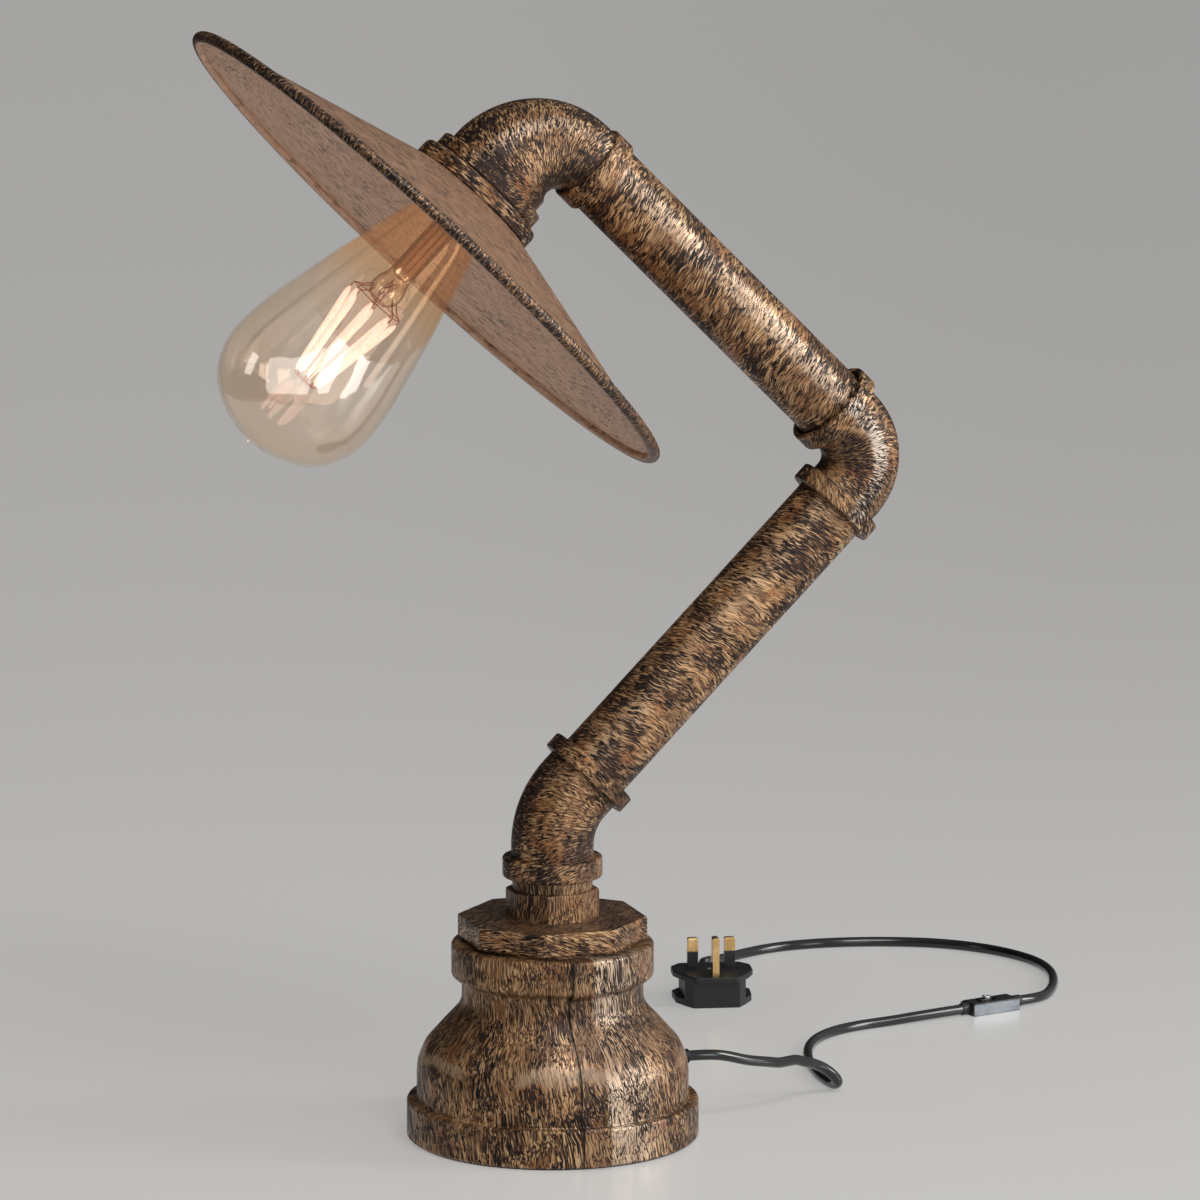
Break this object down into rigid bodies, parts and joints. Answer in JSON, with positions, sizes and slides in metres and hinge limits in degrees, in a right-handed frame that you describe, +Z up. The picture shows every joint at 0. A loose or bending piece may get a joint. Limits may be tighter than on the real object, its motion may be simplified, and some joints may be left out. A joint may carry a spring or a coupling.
{
  "type": "table lamp",
  "caption": "Table lamp of threaded pipe and elbows on a bell-shaped cast foot, with a wide conical shade, a large bulb, an in-line switch and a three-pin plug.",
  "frame": {"origin": "centre of the foot's felt face, on the table", "axes": "+Z up; the pipes lie in the XZ plane, the lower pipe leans to +X and the shade faces -X and down; the cord leaves at +X"},
  "size_m": [0.604, 0.5652, 0.6281],
  "materials": {
    "cast_bronze_paint": "antique bronze paint brushed over cast iron, dark streaks",
    "fitting_bronze_paint": "antique bronze paint, dark brushed streaks, worn edges",
    "pipe_bronze_paint": "antique bronze paint, streaked round the pipe",
    "shade_bronze_paint": "antique bronze paint, fine grain, flecked rim",
    "felt": "black felt",
    "plate_steel": "blackened steel sheet",
    "screw_steel": "zinc plated",
    "ballast_iron": "raw cast iron",
    "ceramic_white": "glazed ceramic",
    "contact_brass": "plain brass",
    "gland_dark": "blackened steel",
    "cord_pvc": "glossy black-grey PVC",
    "core_pvc": "coloured PVC",
    "switch_plastic": "black plastic",
    "trim_aluminium": "satin aluminium",
    "knob_metal": "polished metal",
    "plug_plastic": "matte black plastic",
    "pin_brass": "satin brass",
    "sleeve_plastic": "black plastic",
    "fuse_ceramic": "ceramic body, metal caps",
    "ring_bakelite": "black bakelite",
    "amber_glass": "amber tinted clear glass",
    "cap_metal": "brass cap",
    "stem_glass": "clear glass",
    "filament": "coated LED filament sticks",
    "bulb_wire": "copper-coloured wire"
  },
  "bodies": {
    "base": {"base_casting": "cast_bronze_paint", "felt_pad": "felt", "bottom_plate": "plate_steel", "bottom_screws": "screw_steel", "ballast_disc": "ballast_iron", "terminal_block": "ceramic_white", "terminal_screws": "contact_brass", "cord_gland": "gland_dark", "gland_nut": "gland_dark", "inlet_lead": "cord_pvc", "foot_cores": "core_pvc", "earth_tag": "contact_brass", "earth_screw": "screw_steel", "reducing_bushing": "fitting_bronze_paint", "top_bushing": "fitting_bronze_paint", "base_nipple": "fitting_bronze_paint", "riser_lead": "cord_pvc", "cord_base_run": "cord_pvc", "cord_plug_run": "cord_pvc", "switch_body": "switch_plastic", "switch_cover": "switch_plastic", "switch_side_trim": "trim_aluminium", "switch_sleeves": "switch_plastic", "switch_contacts": "contact_brass", "switch_screws": "screw_steel", "plug_base": "plug_plastic", "plug_cover": "plug_plastic", "earth_pin": "pin_brass", "line_neutral_pins": "pin_brass", "pin_sleeves": "sleeve_plastic", "fuse": "fuse_ceramic", "fuse_clips": "contact_brass", "plug_screw": "screw_steel", "plug_cord_grip": "plug_plastic", "plug_strain_relief": "plug_plastic"},
    "lower_arm": {"lower_elbow": "fitting_bronze_paint", "lower_pipe": "pipe_bronze_paint", "lower_lead": "cord_pvc"},
    "upper_arm": {"middle_elbow": "fitting_bronze_paint", "upper_pipe": "pipe_bronze_paint", "swivel_ring": "fitting_bronze_paint", "upper_lead": "cord_pvc"},
    "head": {"head_elbow": "fitting_bronze_paint", "shade_collar": "fitting_bronze_paint", "shade": "shade_bronze_paint", "shade_ring": "ring_bakelite", "lampholder_body": "ceramic_white", "screw_shell": "contact_brass", "centre_contact": "contact_brass", "head_lead": "cord_pvc", "bulb_glass": "amber_glass", "bulb_cap": "cap_metal", "bulb_insulator": "ring_bakelite", "bulb_contact": "cap_metal", "bulb_driver": "ring_bakelite", "bulb_stem": "stem_glass", "bulb_filaments": "filament", "bulb_wires": "bulb_wire"},
    "slider": {"switch_slider": "switch_plastic", "switch_knob": "knob_metal"}
  },
  "joints": [
    {"name": "base_swivel", "type": "hinge", "parent": "base", "child": "lower_arm", "pos_m": [0, 0, 0.1493], "axis": [0, 0, 1], "range_deg": [-170, 170]},
    {"name": "arm_swivel", "type": "hinge", "parent": "lower_arm", "child": "upper_arm", "pos_m": [0.16679, 0, 0.35188], "axis": [0.7071, 0, 0.7071], "range_deg": [-60, 60]},
    {"name": "head_swivel", "type": "hinge", "parent": "upper_arm", "child": "head", "pos_m": [0.02258, 0, 0.54699], "axis": [-0.7071, 0, 0.7071], "range_deg": [-135, 135]},
    {"name": "switch_slide", "type": "slide", "parent": "base", "child": "slider", "axis": [0.9681, 0.2504, 0], "range_m": [0, 0.004]}
  ]
}
